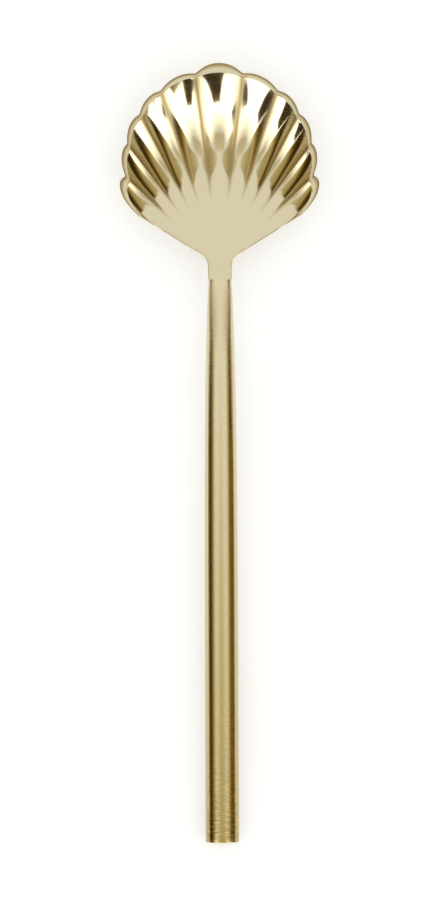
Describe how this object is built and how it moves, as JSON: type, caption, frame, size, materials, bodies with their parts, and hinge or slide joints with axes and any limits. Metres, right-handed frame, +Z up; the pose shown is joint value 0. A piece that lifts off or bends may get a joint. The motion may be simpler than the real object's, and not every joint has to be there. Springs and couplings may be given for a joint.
{
  "type": "shell spoon",
  "caption": "Small pale gold spoon with a fluted scallop-shell bowl, a flat neck and a straight round handle cut square at its end.",
  "frame": {"origin": "on the table that the spoon lies on, under the middle of its length and width", "axes": "+Y along the spoon towards the tip of the bowl, +Z up out of the open bowl, +X across it"},
  "size_m": [0.0332, 0.13, 0.0078],
  "materials": {
    "polished_gold": "mirror-polished pale gold plate on pressed stainless steel",
    "plated_filler": "brazing filler ground flush and plated over with pale gold",
    "satin_gold": "satin pale gold plate over a finely turned stainless rod"
  },
  "bodies": {
    "root": {"shell_bowl": "polished_gold", "braze_seam": "plated_filler", "handle_rod": "satin_gold"}
  },
  "joints": []
}
